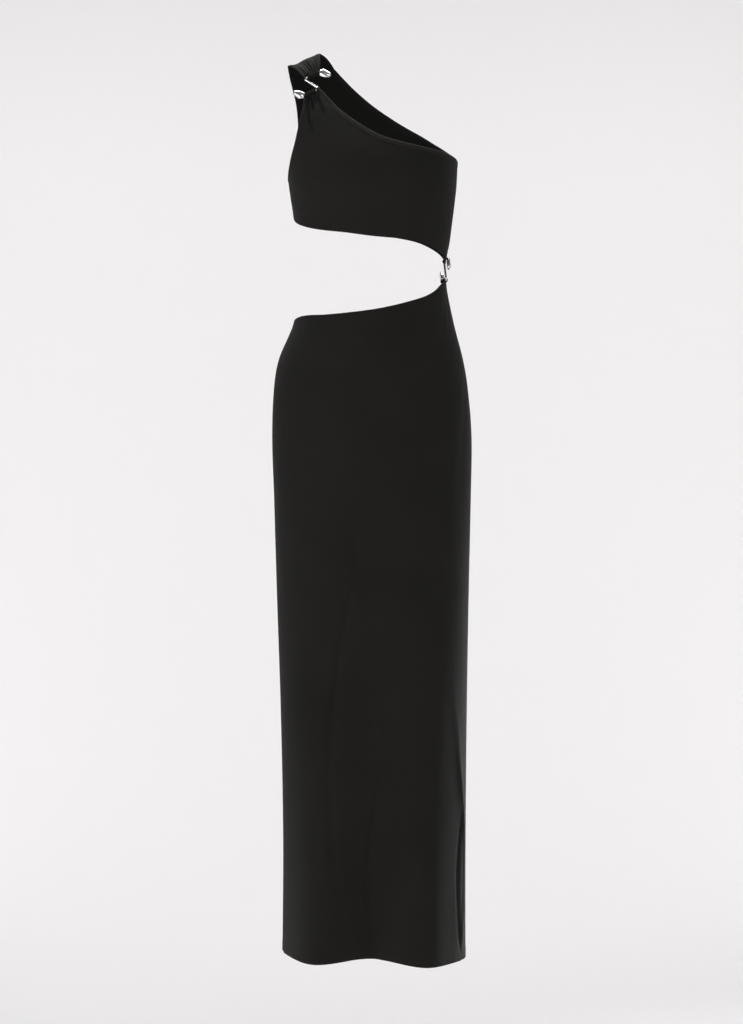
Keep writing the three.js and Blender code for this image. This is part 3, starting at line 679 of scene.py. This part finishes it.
KNIT_BUMP = {"Strength": 0.5, "Distance": 0.00012}
CLOTH_BUMP = {"Strength": 0.25, "Distance": 0.0012}
SILVER_BUMP = {"Strength": 0.06, "Distance": 0.0002}
SILVER_ROUGHNESS = {"To Min": 0.14, "To Max": 0.26}
SILVER_TINTS = (0.84, 0.84, 0.85, 1), (0.92, 0.92, 0.91, 1)


def set_inputs(made, values):
    for key, value in values.items():
        made.inputs[key].default_value = value


def node(tree, kind, inputs=None, **values):
    made = tree.nodes.new(kind)
    for key, value in values.items():
        setattr(made, key, value)
    set_inputs(made, inputs or {})
    return made


def blank_material(name):
    mat = bpy.data.materials.new(name)
    mat.use_nodes = True
    return mat, mat.node_tree, mat.node_tree.nodes["Principled BSDF"]


def jersey_material(name, shade, wales_per_mm=WALES_PER_MM):
    """Fine knitted jersey: rows of small loops, a matt face and a soft bloom at grazing angles."""
    mat, tree, shader = blank_material(name)
    link = tree.links.new
    set_inputs(shader, JERSEY_SURFACE)
    wales_per_m = wales_per_mm / MM
    uv = node(tree, "ShaderNodeUVMap", uv_map="cloth")
    scale = node(tree, "ShaderNodeMapping", {"Scale": (wales_per_m, wales_per_m * COURSES_PER_WALE, 1)})
    link(uv.outputs["UV"], scale.inputs["Vector"])
    wales = node(tree, "ShaderNodeTexWave", WALES, wave_type="BANDS", bands_direction="X")
    courses = node(tree, "ShaderNodeTexWave", COURSES, wave_type="BANDS", bands_direction="Y")
    link(scale.outputs["Vector"], wales.inputs["Vector"])
    link(scale.outputs["Vector"], courses.inputs["Vector"])
    knit = node(tree, "ShaderNodeMath", operation="MULTIPLY")
    link(wales.outputs["Fac"], knit.inputs[0])
    link(courses.outputs["Fac"], knit.inputs[1])
    place = node(tree, "ShaderNodeTexCoord")
    cloud = node(tree, "ShaderNodeTexNoise", CLOUD)
    link(place.outputs["Object"], cloud.inputs["Vector"])
    colour = node(tree, "ShaderNodeValToRGB")
    for element, at, factor in zip(colour.color_ramp.elements, MOTTLE_SPAN, MOTTLE):
        element.position = at
        element.color = tuple(factor * k for k in shade) + (1,)
    fibre = node(tree, "ShaderNodeTexNoise", FIBRE)
    link(place.outputs["Object"], fibre.inputs["Vector"])
    speckle = node(tree, "ShaderNodeMath", {1: FIBRE_SHARE}, operation="MULTIPLY_ADD")
    link(fibre.outputs["Fac"], speckle.inputs[0])
    link(cloud.outputs["Fac"], speckle.inputs[2])
    link(speckle.outputs["Value"], colour.inputs["Fac"])
    # Painted shade: the base colour is multiplied down by the shade attribute, in the deep gathers and on
    # the reverse face
    shaded = node(tree, "ShaderNodeAttribute", attribute_name="shade")
    darken = node(tree, "ShaderNodeMix", data_type="RGBA", blend_type="MULTIPLY")
    colour_a, colour_b = (k for k in darken.inputs if k.name in "AB" and k.type == "RGBA")
    colour_b.default_value = DEEPEST_PAINTED_SHADE
    link(shaded.outputs["Fac"], darken.inputs["Factor"])
    link(colour.outputs["Color"], colour_a)
    darkened = next(k for k in darken.outputs if k.type == "RGBA")
    link(darkened, shader.inputs["Base Color"])
    bump = node(tree, "ShaderNodeBump", KNIT_BUMP)
    link(knit.outputs["Value"], bump.inputs["Height"])
    soft = node(tree, "ShaderNodeBump", CLOTH_BUMP)
    link(cloud.outputs["Fac"], soft.inputs["Height"])
    link(soft.outputs["Normal"], bump.inputs["Normal"])
    link(bump.outputs["Normal"], shader.inputs["Normal"])
    return mat


def silver_material():
    """Polished silver with a faint haze."""
    mat, tree, shader = blank_material("silver_polished")
    link = tree.links.new
    set_inputs(shader, {"Metallic": 1.0})
    place = node(tree, "ShaderNodeTexCoord")
    haze = node(tree, "ShaderNodeTexNoise", SILVER_HAZE)
    link(place.outputs["Object"], haze.inputs["Vector"])
    rough = node(tree, "ShaderNodeMapRange", SILVER_ROUGHNESS)
    link(haze.outputs["Fac"], rough.inputs["Value"])
    link(rough.outputs["Result"], shader.inputs["Roughness"])
    tint = node(tree, "ShaderNodeValToRGB")
    for element, shade in zip(tint.color_ramp.elements, SILVER_TINTS):
        element.color = shade
    link(haze.outputs["Fac"], tint.inputs["Fac"])
    link(tint.outputs["Color"], shader.inputs["Base Color"])
    bump = node(tree, "ShaderNodeBump", SILVER_BUMP)
    link(haze.outputs["Fac"], bump.inputs["Height"])
    link(bump.outputs["Normal"], shader.inputs["Normal"])
    return mat


cloth = jersey_material("jersey_black", OUTER_BLACK)
band_cloth = jersey_material("jersey_band", BAND_BLACK)
thread = jersey_material("thread_black", BAND_BLACK, THREAD_WALES_PER_MM)
silver = silver_material()


def finish_piece(obj, material, nodes=()):
    obj.data.materials.append(material)
    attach(obj, "root")
    if nodes:
        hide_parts(*nodes)
    return obj


# Pieces
SKIRT_HEM_FOLD = 18
TOP_HEM_FOLD = 9
HEM_LIFT = 0.5
HEM_STEP = 1.2
GROOVE = 0.5
GROOVE_IN = 2
GROOVE_WIDE = 0.9
OUTER_LIFT, INNER_LIFT = 0.8, 0.2


def hem_lift(from_edge, fold):
    """The step of a turned and stitched hem, and the slight groove of its stitching."""
    turned = HEM_LIFT * smooth(fold + HEM_STEP, fold - HEM_STEP, from_edge)
    groove = -GROOVE * np.exp(-(((from_edge - fold + GROOVE_IN) / GROOVE_WIDE) ** 2))
    return turned + groove


def make_skirt(name, hem_rows, top_rows, folds, crease_rows, side, wave, cols, rows):
    p, from_hem, from_top = skirt_grid(hem_rows, top_rows, folds, crease_rows, side, wave, cols, rows)
    lift = hem_lift(from_hem, SKIRT_HEM_FOLD) + hem_lift(from_top, TOP_HEM_FOLD)
    obj = shell(name, p, WALL, body_axis, lift * OUTER_LIFT, lift * INNER_LIFT)
    return finish_piece(obj, cloth, [name.replace("_cloth", "")])


skirt_front = make_skirt("skirt_front_cloth", FRONT_HEM, FRONT_SKIRT_TOP, FRONT_FOLDS,
                         FRONT_SKIRT_CREASES, FRONT, SLACK_FRONT_SKIRT, cols=121, rows=260)
skirt_back = make_skirt("skirt_back_cloth", BACK_HEM, BACK_SKIRT_TOP, BACK_FOLDS,
                        BACK_SKIRT_CREASES, BACK, SLACK_BACK_SKIRT, cols=111, rows=240)

BODICE_COLS, BODICE_ROWS = 150, 90
STRAP_COLS, SEAM_ROWS = 54, 27


def two_spans(split, count, first):
    """Steps from 0 to 1, with `first` of them up to the split."""
    return np.concatenate([np.linspace(0, split, first), np.linspace(split, 1, count - first + 1)[1:]])


def make_bodice(name, hem_rows, neck_rows, arm_rows, side, place, gathers=None):
    u = two_spans(STRAP_SHARE, BODICE_COLS, STRAP_COLS)
    v = two_spans(SEAM_SHARE, BODICE_ROWS, SEAM_ROWS)
    deg, up = bodice_rows(hem_rows, neck_rows, arm_rows, side, u, v)
    p = place(deg, up)
    lift = hem_lift(lengths(p, 0), TOP_HEM_FOLD)
    # Painted shade: the colour darkens in the deep gathers by the shoulder link, where shade falls
    fold_painted_shade = None if gathers is None else np.clip(-creases(gathers, deg, up) / GATHER_FULL_PAINTED_SHADE, 0, 1)
    obj = shell(name, p, WALL, body_axis, lift * OUTER_LIFT, lift * INNER_LIFT, fold_painted_shade)
    return finish_piece(obj, cloth, [name.replace("_cloth", "")])


bodice_front = make_bodice("bodice_front_cloth", FRONT_BODICE_HEM, FRONT_NECK, FRONT_ARMHOLE, FRONT,
                           gathered_front, FRONT_GATHERS)
bodice_back = make_bodice("bodice_back_cloth", BACK_BODICE_HEM, BACK_NECK, BACK_ARMHOLE, BACK, plain_back)

# A band across its width: rounded edges, and the groove where its stitches lie
BAND_COLS = 9
BAND_ROUND = 0.75
BAND_SQUARE = 6
BAND_GROOVE = 0.3
STITCH_LINE = 0.78
STITCH_GROOVE_WIDE = 0.07
BAND_RIPPLE = 0.06
RIPPLE_TURN = 0.55


def make_band(name, rows, width, side, lean, place, count):
    edge = edge_of(rows)
    inner = inset(edge, width, side, lean)
    t = np.linspace(0, 1, count)
    w = np.linspace(0, 1, BAND_COLS)
    a, b = edge(t), inner(t)
    deg = within_seams(a[0][None, :] + (b[0] - a[0])[None, :] * w[:, None])
    up = a[1][None, :] + (b[1] - a[1])[None, :] * w[:, None]
    p = place(deg, up)
    groove = BAND_GROOVE * np.exp(-(((w - STITCH_LINE) / STITCH_GROOVE_WIDE) ** 2))[:, None]
    crown = -BAND_ROUND * (2 * w - 1)[:, None] ** BAND_SQUARE - groove
    wave = np.sin(np.linspace(0, count * RIPPLE_TURN, count))
    ripple = BAND_RIPPLE * wave[None, :] * np.sin(math.pi * w)[:, None]
    lift = (crown + ripple) / 2
    obj = shell(name, p, BAND_WALL, body_axis, lift, lift)
    return finish_piece(obj, band_cloth, [name.replace("_cloth", "")])


NECK_FRONT = FRONT_NECK, neck_width, FRONT, neck_lean, gathered_front
NECK_BACK = BACK_NECK, neck_width, BACK, neck_lean, plain_back
ARM_FRONT = FRONT_ARMHOLE, arm_width, FRONT, arm_lean, gathered_front
ARM_BACK = BACK_ARMHOLE, arm_width, BACK, arm_lean, plain_back
neck_front = make_band("neck_band_front_cloth", *NECK_FRONT, count=200)
neck_back = make_band("neck_band_back_cloth", *NECK_BACK, count=200)
arm_front = make_band("armhole_band_front_cloth", *ARM_FRONT, count=110)
arm_back = make_band("armhole_band_back_cloth", *ARM_BACK, count=130)


STRAP_STEPS = 90
STRAP_START = 0.006
# The strap's turned edges, by share of its width
TURNED_LIFT = 0.5
TURNED_EDGE = (0.13, 0.1)
TURNED_GROOVE = 0.25
TURNED_GROOVE_AT = 0.12
TURNED_GROOVE_WIDE = 0.012
TURNED_INNER_LIFT = 0.4


def strap_points(u, v):
    """The strap over the shoulder, dipping between its edges and gathered into its casing."""
    depth = along(STRAP_EDGES, "at", "depth", v)
    left = along(STRAP_EDGES, "at", "left", v)
    right = along(STRAP_EDGES, "at", "right", v)
    base = over_shoulder(left + (right - left) * u, depth)
    last_left, last_right, last_depth = (STRAP_EDGES[k][-1] for k in ("left", "right", "depth"))
    last = over_shoulder(last_left + (last_right - last_left) * u, np.full_like(u, last_depth))
    pull = casing_end(shoulder_link, 1, u) - last
    away = unit(base - shoulder_axis(base))
    window = smooth(*STRAP_SIDES, np.abs(u - 0.5))
    folds = np.cos(2 * math.pi * u * CASING_RIBS) * smooth(*STRAP_GATHER, v)
    wave = np.cos(2 * math.pi * u * BROAD_FOLDS + STRAP_BROAD_PHASE)
    broad = wave * smooth(*STRAP_BROAD, v) * STRAP_BROAD_SHARE
    dip = STRAP_DIP * np.exp(-(((u - STRAP_DIP_AT) / STRAP_DIP_WIDE) ** 2)) * np.sin(math.pi * v)
    relief = GATHER_DEPTH * (folds + broad) * window - dip
    return base + away * relief[..., None] + pull * smooth(*STRAP_PULL, v)[..., None]


def make_strap():
    u, v = np.meshgrid(np.linspace(0, 1, STRAP_STEPS), np.linspace(STRAP_START, 1, STRAP_STEPS))
    p = strap_points(u, v)
    edge = np.minimum(u, 1 - u)
    groove = TURNED_GROOVE * np.exp(-(((edge - TURNED_GROOVE_AT) / TURNED_GROOVE_WIDE) ** 2))
    lift = TURNED_LIFT * smooth(*TURNED_EDGE, edge) - groove
    obj = shell("shoulder_strap_cloth", p, WALL, shoulder_axis, lift * OUTER_LIFT, lift * TURNED_INNER_LIFT)
    return finish_piece(obj, cloth, ["shoulder_strap"])


strap = make_strap()


RIB_UNEVEN = 0.5
RIB_DRIFT = 9
CASING_EDGE = (0, 0.04)
WOBBLE = 0.03
WOBBLE_LOBES = 3
WOBBLE_TURN = 5


def make_casing(name, place, side):
    """A gathered tunnel of cloth round a bar, ribbed where the cloth is bunched."""
    lengthwise, around = 120, 40
    low = side * CASING_SHIFT - CASING_HALF
    x = np.linspace(low, low + 2 * CASING_HALF, lengthwise)
    share = np.linspace(0, 1, lengthwise)
    turn = np.linspace(0, 2 * math.pi, around, endpoint=False)
    rib = np.cos(2 * math.pi * share * CASING_RIBS + RIB_UNEVEN * np.sin(share * RIB_DRIFT))
    edge = smooth(*CASING_EDGE, np.minimum(share, 1 - share))
    radius = CASING_OUTER - CASING_ROUNDING * (1 - edge) - CASING_RIB * rib * edge
    rings = [(x[0], CASING_INNER), *zip(x, radius), (x[-1], CASING_INNER)]
    verts, faces = [], []
    for k, (xx, rr) in enumerate(rings):
        middle = side * BAR_LINE + BAR_RISE * xx
        wobble = 1 + WOBBLE * np.sin(WOBBLE_LOBES * turn + WOBBLE_TURN * xx)
        r = rr * (wobble if 0 < k < len(rings) - 1 else 1)
        verts.append(place(np.full_like(turn, xx), middle + r * np.cos(turn), r * np.sin(turn)))
    count = len(rings)
    for k in range(count):
        nxt = (k + 1) % count
        for s in range(around):
            t = (s + 1) % around
            faces.append((k * around + s, k * around + t, nxt * around + t, nxt * around + s))
    verts = np.concatenate(verts)
    uvs = np.stack([np.repeat([r[0] for r in rings], around), np.tile(turn * CASING_OUTER, count)], -1) * MM
    obj = build_mesh(name, in_frame(verts), faces, uvs)
    return finish_piece(obj, cloth, [name.replace("_cloth", "")])


casings = [
    make_casing("strap_casing_cloth", shoulder_link, 1),
    make_casing("bodice_casing_cloth", shoulder_link, -1),
    make_casing("waist_casing_upper_cloth", waist_link, 1),
    make_casing("waist_casing_lower_cloth", waist_link, -1),
]


LINK_STEPS = 340
LINK_SIDES = 36
THINNEST = 0.0004
BEND_STEPS = 9
STRAIGHT_STEPS = 5
NEAR_BEND = (0.2, 0.6)


def link_half():
    """Centre line and half widths of a link, from its middle to a flared end."""
    corner = np.array([1, -LINK_LEAN]) * BAR_LINE / (LINK_LEAN + BAR_RISE)
    back, onward = unit(np.array([-1, LINK_LEAN])), unit(np.array([-1, -BAR_RISE]))
    half = math.acos(back @ onward) / 2
    centre = corner + unit(back + onward) * BEND / math.sin(half)
    x, y = corner + back * BEND / math.tan(half) - centre
    turn = math.atan2(y, x) - (math.pi - 2 * half) * np.linspace(0, 1, BEND_STEPS)
    arc = centre + BEND * np.stack([np.cos(turn), np.sin(turn)], -1)
    straight = np.linspace(0, 1, STRAIGHT_STEPS)[:-1, None]
    bar = np.array([[0, -BAR_LINE], [-BAR_END * 0.5, -BAR_LINE - BAR_RISE * BAR_END * 0.5],
                    [-BAR_END, -BAR_LINE - BAR_RISE * BAR_END]])
    near = arc[-1] + (bar[0] - arc[-1]) * np.array(NEAR_BEND)[:, None]
    line = np.concatenate([arc[0] * straight, arc, near, bar])
    width = np.full((len(line), 2), BAR)
    flare = np.stack([FLARE[k] for k in ("a", "b", "wide", "thick")], -1)
    return np.concatenate([np.hstack([line, width]), flare])


def make_link(name, place):
    half = link_half()
    whole = np.concatenate([half[:0:-1] * (-1, -1, 1, 1), half])
    run = np.concatenate([[0], np.cumsum(np.hypot(*np.diff(whole[:, :2], axis=0).T))])
    s = np.linspace(0, run[-1], LINK_STEPS)
    a, b, wide, thick = (hermite(run, whole[:, k], s) for k in range(4))
    near_end = np.minimum(s, run[-1] - s)
    cap = np.sqrt(np.clip(1 - (1 - np.clip(near_end / FLARE_CAP, 0, 1)) ** 2, THINNEST, 1))
    wide, thick = wide * cap, thick * cap
    da, db = np.gradient(a, s), np.gradient(b, s)
    size = np.hypot(da, db)
    na, nb = -db / size, da / size
    zero = place(0.0, 0.0, 0.0)
    across = place(na, nb) - zero
    normal = place(0 * a, 0 * b, np.ones_like(a)) - zero
    obj = sweep(name, place(a, b), across, normal, wide, thick, LINK_SIDES)
    return finish_piece(obj, silver, [name.replace("_metal", "")])


make_link("link_shoulder_metal", shoulder_link)
make_link("link_waist_metal", waist_link)


# Stitching: short threads along a line of the cloth, sunk half into it
STITCH_PITCH = 2.6
STITCH_LENGTH = 1.9
STITCH_RADIUS = 0.17
STITCH_SIDES = 6
STITCH_REACH = 0.2
STITCH_SINK = 0.12
STITCH_SPAN = (0.01, 0.99)
STITCH_SAMPLES = 500
STITCH = table(
    "at radius rise",
    (0, 0.1, -0.5), (0.18, 0.8, 0.1), (0.5, 1, 0.45), (0.82, 0.8, 0.1), (1, 0.1, -0.5),
)


def make_stitches(name, line, normals):
    step = np.linalg.norm(np.diff(line, axis=0), axis=-1)
    run = np.concatenate([[0], np.cumsum(step)])
    starts = np.arange(STITCH_PITCH * 0.5, run[-1] - STITCH_LENGTH, STITCH_PITCH)
    turn = np.linspace(0, 2 * math.pi, STITCH_SIDES, endpoint=False)
    verts, faces = [], []
    last = (len(STITCH["at"]) - 1) * STITCH_SIDES

    def sample(distance, rows):
        return np.stack([np.interp(distance, run, rows[:, k]) for k in range(3)], -1)

    for start in starts:
        base = len(verts) * STITCH_SIDES
        for share, size, rise in zip(*STITCH.values()):
            at = start + share * STITCH_LENGTH
            n = unit(sample(at, normals))
            ahead = unit(sample(min(run[-1], at + STITCH_REACH), line) - sample(at - STITCH_REACH, line))
            side = np.cross(ahead, n)
            centre = sample(at, line) + n * rise * STITCH_RADIUS
            ring = np.cos(turn)[:, None] * n + np.sin(turn)[:, None] * side
            verts.append(centre + STITCH_RADIUS * size * ring)
        for k in range(0, last, STITCH_SIDES):
            for s in range(STITCH_SIDES):
                t = (s + 1) % STITCH_SIDES
                faces.append((base + k + s, base + k + t,
                              base + k + STITCH_SIDES + t, base + k + STITCH_SIDES + s))
        faces.append(tuple(base + s for s in range(STITCH_SIDES))[::-1])
        faces.append(tuple(base + last + s for s in range(STITCH_SIDES)))
    verts = np.concatenate(verts)
    uvs = np.stack([verts[:, 0], verts[:, 2]], -1) * MM
    obj = build_mesh(name, in_frame(verts), faces, uvs)
    return finish_piece(obj, thread)


def line_on(place, deg, up, lift):
    """A line on the cloth's outer face, with the directions that stand out from it."""
    step = 0.4
    p = place(deg, up)
    du = place(deg + step, up) - place(deg - step, up)
    dv = place(deg, up + step) - place(deg, up - step)
    n = unit(np.cross(du, dv))
    away = p - body_axis(p)
    n = n * np.where((n * away).sum(-1) < 0, -1, 1)[:, None]
    return p + n * lift, n


def band_stitches(name, rows, width, side, lean, place):
    edge = edge_of(rows)
    inner = inset(edge, width, side, lean)
    t = np.linspace(*STITCH_SPAN, STITCH_SAMPLES)
    a, b = edge(t), inner(t)
    deg = within_seams(a[0] + (b[0] - a[0]) * STITCH_LINE)
    up = a[1] + (b[1] - a[1]) * STITCH_LINE
    line, n = line_on(place, deg, up, BAND_WALL / 2 - STITCH_SINK)
    return make_stitches(name, line, n)


band_stitches("neck_stitches_front", *NECK_FRONT)
band_stitches("neck_stitches_back", *NECK_BACK)
band_stitches("armhole_stitches_front", *ARM_FRONT)
band_stitches("armhole_stitches_back", *ARM_BACK)


# Stage, light and camera: a sheet of paper swept up behind the dress, in metres
FLOOR = -HOLD_UP * MM - 0.30
STAGE_FRONT = -14.0
STAGE_BACK = 4.5
STAGE_SWEEP = 2.2
STAGE_HALF = 9.0
STAGE_TALL = 12
SWEEP_STEPS = 24
PAPER = {"Base Color": (0.86, 0.845, 0.85, 1), "Roughness": 0.95}


def make_stage():
    centre = STAGE_BACK - STAGE_SWEEP
    profile = [(STAGE_FRONT, FLOOR), (centre, FLOOR)]
    for k in range(1, SWEEP_STEPS + 1):
        turn = math.pi / 2 * k / SWEEP_STEPS
        profile.append((centre + STAGE_SWEEP * math.sin(turn), FLOOR + STAGE_SWEEP * (1 - math.cos(turn))))
    profile.append((STAGE_BACK, FLOOR + STAGE_TALL))
    verts = [(x, y, z) for y, z in profile for x in (-STAGE_HALF, STAGE_HALF)]
    faces = [(2 * k, 2 * k + 1, 2 * k + 3, 2 * k + 2) for k in range(len(profile) - 1)]
    obj = build_mesh("stage_floor", verts, faces)
    mat, _, shader = blank_material("stage_paper")
    set_inputs(shader, PAPER)
    obj.data.materials.append(mat)


def area_light(name, place, target, size, power, spread_deg):
    data = bpy.data.lights.new(name, "AREA")
    data.shape = "RECTANGLE"
    data.size, data.size_y = size
    data.energy = power
    data.spread = math.radians(spread_deg)
    obj = bpy.data.objects.new(name, data)
    obj.location = place
    obj.rotation_euler = (Vector(target) - Vector(place)).to_track_quat("-Z", "Y").to_euler()
    bpy.context.scene.collection.objects.link(obj)


make_stage()
UPPER = (0.1125, 0, -0.45)
LOWER = (0.2475, 0, -1.4)
# Each light's place, target, size, power and spread
ALL_ROUND = 180
LIGHTS = {
    "front_high": ((0.0, -2.4, 1.1), UPPER, (2.4, 1.2), 15, ALL_ROUND),
    "side_left": ((-2.9, -1.6, -0.3), UPPER, (1.4, 2.6), 38, ALL_ROUND),
    "side_right": ((2.8, -2.2, -0.5), UPPER, (1.4, 2.6), 25, ALL_ROUND),
    "side_right_low": ((1.7, 1.3, -1.2), LOWER, (0.5, 0.6), 1.8, 50),
    "wash_left": ((-2.2, 2.4, 0.2), (0.2, 4.5, -0.8), (0.8, 3.4), 23, ALL_ROUND),
    "wash_right": ((2.4, 2.4, 0.2), (0.0, 4.5, -0.8), (0.8, 3.4), 23, ALL_ROUND),
    "wash_top": ((0.1, 0.9, 2.6), (0.1, 1.2, -1.8), (2.8, 1.0), 104, ALL_ROUND),
}
for light, settings in LIGHTS.items():
    area_light(light, *settings)

WORLD = {"Color": (0.93, 0.92, 0.93, 1), "Strength": 0.16}
world = bpy.data.worlds.new("studio")
world.use_nodes = True
set_inputs(world.node_tree.nodes["Background"], WORLD)
bpy.context.scene.world = world
bpy.context.scene.view_settings.view_transform = "Standard"

# The camera stands level with the middle of the dress, as the photograph's did
PHOTO_HEIGHT_PX = 1024
MM_PER_PX = 1.643
CAMERA_FAR = 3800
CAMERA_UP = 724.6
CAMERA_ASIDE = -1.6
SENSOR = 36.0
CLIP_END = 100
camera_data = bpy.data.cameras.new("camera")
camera_data.sensor_fit = "VERTICAL"
camera_data.sensor_height = SENSOR
camera_data.lens = SENSOR * CAMERA_FAR / (PHOTO_HEIGHT_PX * MM_PER_PX)
camera_data.clip_end = CLIP_END
camera = bpy.data.objects.new("camera", camera_data)
camera.location = in_frame((CAMERA_ASIDE, -CAMERA_FAR, CAMERA_UP))
camera.rotation_euler = (math.pi / 2, 0, 0)
bpy.context.scene.collection.objects.link(camera)
bpy.context.scene.camera = camera
